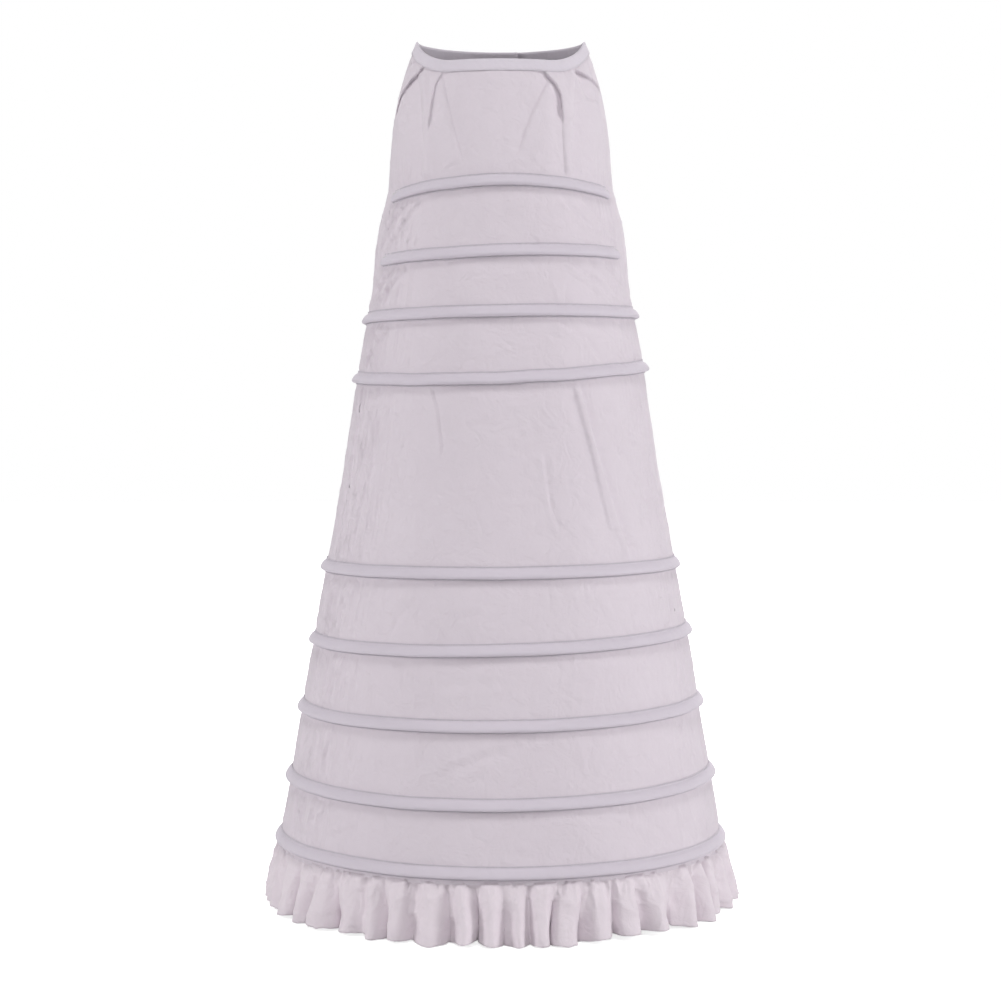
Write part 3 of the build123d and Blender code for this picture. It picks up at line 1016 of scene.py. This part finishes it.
def casing_row(number, place_on, lift):
    end = SIDE_SEAM - STITCH_END
    short = number <= SHORT_HOOPS
    angle = np.linspace(-end, end, 260) if short else np.linspace(-180, 180, 560, endpoint=False)
    out, up = (place_on[0] + lift) * MM, place_on[1] * MM
    return on_casing(number, angle, np.full_like(angle, out), np.full_like(angle, up)), not short


upper_rows = [casing_row(n, UPPER_STITCH, LIFT) for n in numbers]
lower_rows = [casing_row(n, LOWER_STITCH, LIFT) for n in numbers]
casing_stitches = [
    grow_from("casing_stitches_upper", upper_rows, stitch_tree, {"Material": thread_paint}),
    grow_from("casing_stitches_lower", lower_rows, stitch_tree, {"Material": thread_paint}),
]

band_end = 180 + LAP_ANGLE - STITCH_INSET
band_angle = np.linspace(-band_end, band_end, BAND_COLUMNS)
band_out, band_up = (np.full_like(band_angle, value) for value in (STITCH_OUT, STITCH_UP))
band_rows = [(band_place(band_angle, band_out, band_up), False)]
seam_angle = np.linspace(-180, 180, 900, endpoint=False)
seam_height = np.full_like(seam_angle, RUFFLE_SEAM_Z + STITCH_UP)
seam_rows = [(place(seam_angle, seam_height, relief(seam_angle, seam_height) + SEAM_GAP), True)]
band_stitches = grow_from("band_stitches", band_rows, stitch_tree, {"Material": thread_paint})
seam_stitches = grow_from("ruffle_seam_stitches", seam_rows, stitch_tree, {"Material": thread_paint})

hem_line = ruffle_place(hem_turns, np.ones_like(hem_turns)) + np.array([0.0, 0.0, THREAD_LIFT])
hem_rows = [(hem_line, True)]
hem_threads = grow_from("hem_threads", hem_rows, fray_tree, {"Material": fray_paint})

# %% [markdown]
# ## Cloth materials
# All the cotton is one plain weave, so the weave and the uneven tone are two shader groups
# that each material uses with its own values. The groups give only numbers and colours.


# %% Shader groups
def new_group(name, inputs, outputs):
    group = bpy.data.node_groups.new(name, "ShaderNodeTree")
    for label, kind, value in inputs:
        socket = group.interface.new_socket(label, in_out="INPUT", socket_type=kind)
        if value is not None:
            socket.default_value = value
    for label, kind in outputs:
        group.interface.new_socket(label, in_out="OUTPUT", socket_type=kind)
    return group, group.nodes.new("NodeGroupInput"), group.nodes.new("NodeGroupOutput")


def math_node(tree, operation, a, b=None):
    node = tree.nodes.new("ShaderNodeMath")
    node.operation = operation
    for socket, value in zip(node.inputs, (a, b)):
        if value is None:
            continue
        if isinstance(value, (int, float)):
            socket.default_value = value
        else:
            tree.links.new(value, socket)
    return node.outputs[0]


weave, weave_in, weave_out = new_group(
    "plain_weave",
    [("UV", "NodeSocketVector", None), ("Threads per metre", "NodeSocketFloat", 2400.0)],
    [("Height", "NodeSocketFloat")],
)
split = weave.nodes.new("ShaderNodeSeparateXYZ")
weave.links.new(weave_in.outputs["UV"], split.inputs[0])
waves = []
for axis in ("X", "Y"):
    scaled = math_node(weave, "MULTIPLY", split.outputs[axis], weave_in.outputs["Threads per metre"])
    turns_in = math_node(weave, "MULTIPLY", scaled, math.pi)
    waves.append(math_node(weave, "SINE", turns_in))
over = math_node(weave, "MULTIPLY", waves[0], waves[1])
slub = weave.nodes.new("ShaderNodeTexNoise")
slub.inputs["Scale"].default_value = 900.0
weave.links.new(weave_in.outputs["UV"], slub.inputs["Vector"])
uneven = math_node(weave, "MULTIPLY", slub.outputs["Fac"], 0.8)
weave.links.new(math_node(weave, "ADD", over, uneven), weave_out.inputs["Height"])

# A mask for a line across a strip, along which a material paints shade into its colour.
shade_line_group, shade_line_in, shade_line_out = new_group(
    "painted_shade_line",
    [
        ("UV", "NodeSocketVector", None),
        ("At", "NodeSocketFloat", 0.0),
        ("Half width", "NodeSocketFloat", 0.0010),
    ],
    [("Mask", "NodeSocketFloat")],
)
shade_line_split = shade_line_group.nodes.new("ShaderNodeSeparateXYZ")
shade_line_group.links.new(shade_line_in.outputs["UV"], shade_line_split.inputs[0])
away = math_node(shade_line_group, "SUBTRACT", shade_line_split.outputs["Y"], shade_line_in.outputs["At"])
share = math_node(shade_line_group, "DIVIDE", math_node(shade_line_group, "ABSOLUTE", away), shade_line_in.outputs["Half width"])
fade = math_node(shade_line_group, "SUBTRACT", 1.0, share)
fade_node = math_node(shade_line_group, "MAXIMUM", fade, 0.0)
shade_line_group.links.new(fade_node, shade_line_out.inputs["Mask"])

tone, tone_in, tone_out = new_group(
    "cotton_tone",
    [
        ("Position", "NodeSocketVector", None),
        ("Colour", "NodeSocketColor", (0.6, 0.55, 0.6, 1)),
        ("Shade", "NodeSocketColor", (0.55, 0.5, 0.55, 1)),
        ("Amount", "NodeSocketFloat", 0.5),
    ],
    [("Colour", "NodeSocketColor"), ("Crumple", "NodeSocketFloat")],
)
patches = tone.nodes.new("ShaderNodeTexNoise")
patches.inputs["Scale"].default_value = 9.0
patches.inputs["Detail"].default_value = 4.0
tone.links.new(tone_in.outputs["Position"], patches.inputs["Vector"])
heights = []
for scale, detail in ((30.0, 3.0), (75.0, 3.0)):
    noise = tone.nodes.new("ShaderNodeTexNoise")
    noise.inputs["Scale"].default_value = scale
    noise.inputs["Detail"].default_value = detail
    noise.inputs["Distortion"].default_value = 0.6
    tone.links.new(tone_in.outputs["Position"], noise.inputs["Vector"])
    centred = math_node(tone, "SUBTRACT", noise.outputs["Fac"], 0.5)
    heights.append(math_node(tone, "MULTIPLY", math_node(tone, "ABSOLUTE", centred), 30.0 / scale))
mix = tone.nodes.new("ShaderNodeMix")
mix.data_type = "RGBA"
patch_share = math_node(tone, "MULTIPLY", patches.outputs["Fac"], tone_in.outputs["Amount"])
tone.links.new(patch_share, mix.inputs["Factor"])
tone.links.new(tone_in.outputs["Colour"], mix.inputs["A"])
tone.links.new(tone_in.outputs["Shade"], mix.inputs["B"])
tone.links.new(mix.outputs["Result"], tone_out.inputs["Colour"])
tone.links.new(math_node(tone, "ADD", *heights), tone_out.inputs["Crumple"])
print("shader groups:", [g.name for g in bpy.data.node_groups])


# %% Cotton materials
def srgb(r, g, b):
    """A colour written as it looks on screen, from 0 to 255, as linear light."""
    line = [c / 255.0 for c in (r, g, b)]
    return tuple(c / 12.92 if c <= 0.04045 else ((c + 0.055) / 1.055) ** 2.4 for c in line) + (1.0,)


def cotton(name, colour, shade, threads=2400.0, crumple_depth=0.34, painted_shade_lines=()):
    """Plain cotton, with lines across the strip painted darker: painted shade where stitched grooves and
    creases lie in shadow.
    """
    material = bpy.data.materials.new(name)
    material.use_nodes = True
    nodes, links = material.node_tree.nodes, material.node_tree.links
    shader = nodes["Principled BSDF"]
    shader.inputs["Roughness"].default_value = 0.9
    shader.inputs["Specular IOR Level"].default_value = 0.25
    shader.inputs["Sheen Weight"].default_value = 0.18
    shader.inputs["Sheen Roughness"].default_value = 0.5
    place_node = nodes.new("ShaderNodeTexCoord")
    map_node = nodes.new("ShaderNodeUVMap")
    map_node.uv_map = "cloth"
    tone_node = nodes.new("ShaderNodeGroup")
    tone_node.node_tree = tone
    tone_node.inputs["Colour"].default_value = colour
    tone_node.inputs["Shade"].default_value = shade
    links.new(place_node.outputs["Object"], tone_node.inputs["Position"])
    weave_node = nodes.new("ShaderNodeGroup")
    weave_node.node_tree = weave
    weave_node.inputs["Threads per metre"].default_value = threads
    links.new(map_node.outputs["UV"], weave_node.inputs["UV"])
    soft = nodes.new("ShaderNodeBump")
    soft.inputs["Strength"].default_value = crumple_depth
    soft.inputs["Distance"].default_value = 0.012
    links.new(tone_node.outputs["Crumple"], soft.inputs["Height"])
    threads_bump = nodes.new("ShaderNodeBump")
    threads_bump.inputs["Strength"].default_value = 0.25
    threads_bump.inputs["Distance"].default_value = 0.0001
    links.new(weave_node.outputs["Height"], threads_bump.inputs["Height"])
    links.new(soft.outputs["Normal"], threads_bump.inputs["Normal"])
    links.new(threads_bump.outputs["Normal"], shader.inputs["Normal"])
    colour_now = tone_node.outputs["Colour"]
    # Each line paints shade into the colour: a darker copy of the shade colour, blended in along the
    # line.
    for at, half_width, darkness in painted_shade_lines:
        line = nodes.new("ShaderNodeGroup")
        line.node_tree = shade_line_group
        line.inputs["At"].default_value = at
        line.inputs["Half width"].default_value = half_width
        links.new(map_node.outputs["UV"], line.inputs["UV"])
        darken = nodes.new("ShaderNodeMix")
        darken.data_type = "RGBA"
        darken.inputs["B"].default_value = tuple(c * darkness for c in shade[:3]) + (1.0,)
        links.new(line.outputs["Mask"], darken.inputs["Factor"])
        links.new(colour_now, darken.inputs["A"])
        colour_now = darken.outputs["Result"]
    links.new(colour_now, shader.inputs["Base Color"])
    return material


panel_cotton = cotton("panel_cotton", srgb(214, 205, 213), srgb(203, 193, 202))
# Painted shade on the casing: a dark line at the upper stitching, partly its stitch holes and partly
# painted shade in its groove, and a darker line painted as the shadow in the crease under the rib.
PAINTED_SHADE_HALF = 0.0016
CASING_PAINTED_SHADES = ((7.8, 0.80), (-6.7, 0.72))
casing_painted_shade_lines = [(up * MM * UV_STRETCH, PAINTED_SHADE_HALF, dark) for up, dark in CASING_PAINTED_SHADES]
casing_cotton = cotton(
    "casing_cotton", srgb(207, 199, 209), srgb(196, 188, 198), crumple_depth=0.16, painted_shade_lines=casing_painted_shade_lines
)
# The ruffle's cotton is painted lighter than the panels': painted light for the light shining through its
# single hanging layer.
ruffle_cotton = cotton("ruffle_cotton", srgb(224, 214, 221), srgb(212, 202, 210))
band_cotton = cotton("band_cotton", srgb(211, 204, 213), srgb(203, 195, 205), crumple_depth=0.2)

for piece in [*panels, placket_cloth]:
    piece.data.materials.append(panel_cotton)
for piece in casings:
    piece.data.materials.append(casing_cotton)
ruffle.data.materials.append(ruffle_cotton)
band.data.materials.append(band_cotton)
print("cotton materials:", [m.name for m in (panel_cotton, casing_cotton, ruffle_cotton, band_cotton)])

# %% [markdown]
# Sewing thread is twisted, which shows as fine light and dark spots. A fine noise on the
# thread's own place gives them, which is simpler than a pattern that follows each stitch.

# %% Thread materials
TWIST_SCALE, TWIST_SHADE = 900.0, 0.75


def tint_by(tree, mask, colour, darkness):
    """A colour that turns darker where the mask is 1."""
    tint = tree.nodes.new("ShaderNodeMix")
    tint.data_type = "RGBA"
    tint.inputs["A"].default_value = colour
    tint.inputs["B"].default_value = tuple(c * darkness for c in colour[:3]) + (1.0,)
    tree.links.new(mask, tint.inputs["Factor"])
    return tint.outputs["Result"]


def noise_on_piece(tree, scale):
    """Fine noise that is fixed to the piece itself."""
    place_node = tree.nodes.new("ShaderNodeTexCoord")
    noise = tree.nodes.new("ShaderNodeTexNoise")
    noise.inputs["Scale"].default_value = scale
    tree.links.new(place_node.outputs["Object"], noise.inputs["Vector"])
    return noise.outputs["Fac"]


def thread_material(material, colour):
    """Twisted cotton thread: fine spots of a darker tint and a dry surface."""
    material.use_nodes = True
    tree = material.node_tree
    shader = tree.nodes["Principled BSDF"]
    shader.inputs["Roughness"].default_value = 0.8
    shader.inputs["Sheen Weight"].default_value = 0.2
    twist = noise_on_piece(tree, TWIST_SCALE)
    tree.links.new(tint_by(tree, twist, colour, TWIST_SHADE), shader.inputs["Base Color"])


thread_material(thread_paint, srgb(222, 216, 222))
thread_material(fray_paint, srgb(226, 220, 224))
print("thread materials:", thread_paint.name, fray_paint.name)

# %% [markdown]
# Steel, sleeves and the button are small or hidden, so one plain finish does for them all: a
# colour and a roughness that vary a little over the surface.

# %% Metal and button materials
GRAIN_SCALE, GRAIN_SHADE = 240.0, 0.8
SMOOTHER, ROUGHER = 0.08, 0.12


def plain_finish(name, colour, roughness, metallic):
    material = bpy.data.materials.new(name)
    material.use_nodes = True
    tree = material.node_tree
    shader = tree.nodes["Principled BSDF"]
    shader.inputs["Metallic"].default_value = metallic
    grain = noise_on_piece(tree, GRAIN_SCALE)
    spread = tree.nodes.new("ShaderNodeMapRange")
    spread.inputs["To Min"].default_value = roughness - SMOOTHER
    spread.inputs["To Max"].default_value = roughness + ROUGHER
    tree.links.new(grain, spread.inputs["Value"])
    tree.links.new(spread.outputs["Result"], shader.inputs["Roughness"])
    tree.links.new(tint_by(tree, grain, colour, GRAIN_SHADE), shader.inputs["Base Color"])
    return material


steel_metal = plain_finish("spring_steel", srgb(165, 168, 172), 0.35, 1.0)
sleeve_metal = plain_finish("plated_sleeve", srgb(190, 190, 186), 0.28, 1.0)
button_shell = plain_finish("button_shell", srgb(228, 224, 216), 0.3, 0.0)
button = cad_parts["waist_button"]
for pieces, finish in ((steels, steel_metal), (sleeves, sleeve_metal), ([button], button_shell)):
    for piece in pieces:
        piece.data.materials.clear()
        piece.data.materials.append(finish)
print("finishes on", len(steels), "steels,", len(sleeves), "sleeves and the button")

# %% [markdown]
# ## Light and surroundings
# Soft light comes from above and both sides. The camera sees the world as white, while the
# cloth gets only a part of that light, so that its folds keep their shading.

# %% World
AMBIENT = 0.22
world = bpy.data.worlds.new("world")
bpy.context.scene.world = world
world.use_nodes = True
tree = world.node_tree
back = tree.nodes["Background"]
back.inputs["Color"].default_value = (1, 1, 1, 1)
path = tree.nodes.new("ShaderNodeLightPath")
seen = math_node(tree, "MAXIMUM", path.outputs["Is Camera Ray"], path.outputs["Is Glossy Ray"])
seen = math_node(tree, "MAXIMUM", seen, path.outputs["Is Transmission Ray"])
lift = math_node(tree, "MULTIPLY", seen, 1.0 - AMBIENT)
tree.links.new(math_node(tree, "ADD", lift, AMBIENT), back.inputs["Strength"])
print("light from all round:", AMBIENT)

# %% [markdown]
# The floor glows a little for the camera only, so it joins the white background and still
# takes the skirt's shadow.

# %% Floor
FLOOR = 12.0
FLOOR_GLOW = 0.80
floor_corners = [(-FLOOR, -FLOOR, 0), (FLOOR, -FLOOR, 0), (FLOOR, FLOOR, 0), (-FLOOR, FLOOR, 0)]
floor_mesh = bpy.data.meshes.new("floor")
floor_mesh.from_pydata(floor_corners, [], [(0, 1, 2, 3)])
floor = bpy.data.objects.new("floor", floor_mesh)
bpy.context.scene.collection.objects.link(floor)
floor_paint = bpy.data.materials.new("floor_paint")
floor_paint.use_nodes = True
floor_tree = floor_paint.node_tree
floor_shader = floor_tree.nodes["Principled BSDF"]
floor_shader.inputs["Base Color"].default_value = (0.92, 0.92, 0.92, 1)
floor_shader.inputs["Roughness"].default_value = 0.9
floor_shader.inputs["Emission Color"].default_value = (1, 1, 1, 1)
floor_path = floor_tree.nodes.new("ShaderNodeLightPath")
glow = math_node(floor_tree, "MULTIPLY", floor_path.outputs["Is Camera Ray"], FLOOR_GLOW)
floor_tree.links.new(glow, floor_shader.inputs["Emission Strength"])
floor_mesh.materials.append(floor_paint)
print("floor width:", 2 * FLOOR, "m")

# %% [markdown]
# One lamp is high in front, one stands at each side, a weak one lies low before the ruffle,
# and one behind lights the back for views from there.

# %% Lamps: place, target, size in metres, power in watts
MIDDLE, RUFFLE_FRONT = (0, 0, 0.5), (0, 0, 0.1)
LAMPS = {
    "key_above": ((0.3, -2.9, 6.4), MIDDLE, (1.8, 1.6), 150),
    "left_side": ((-5.2, -1.5, 2.2), MIDDLE, (1.4, 2.4), 112),
    "right_side": ((5.2, -1.8, 2.2), MIDDLE, (1.4, 2.4), 138),
    "front_low": ((-0.3, -6.5, 0.9), RUFFLE_FRONT, (2.4, 1.2), 30),
    "back_fill": ((0.6, 5.2, 3.2), MIDDLE, (3.0, 2.4), 180),
}
for name, (where, target, size, power) in LAMPS.items():
    data = bpy.data.lights.new(name, "AREA")
    data.shape = "RECTANGLE"
    data.size, data.size_y = size
    data.energy = power
    lamp = bpy.data.objects.new(name, data)
    lamp.location = where
    lamp.rotation_euler = (Vector(target) - Vector(where)).to_track_quat("-Z", "Y").to_euler()
    bpy.context.scene.collection.objects.link(lamp)
print("lamps:", list(LAMPS))

# %% [markdown]
# ## Say what each piece is
# Every piece rides on the one body, and a cloth piece stands for its solid.

# %% Bodies and replaced solids
stands_for = list(zip(panels, ("front_panel", "back_left_panel", "back_right_panel")))
stands_for += [(piece, f"casing_{number}") for number, piece in enumerate(casings, start=1)]
stands_for += [(ruffle, "ruffle"), (band, "waistband")]
for piece, node in stands_for:
    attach(piece, "root")
    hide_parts(node)
for piece in [*casing_stitches, band_stitches, seam_stitches, hem_threads, placket_cloth]:
    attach(piece, "root")
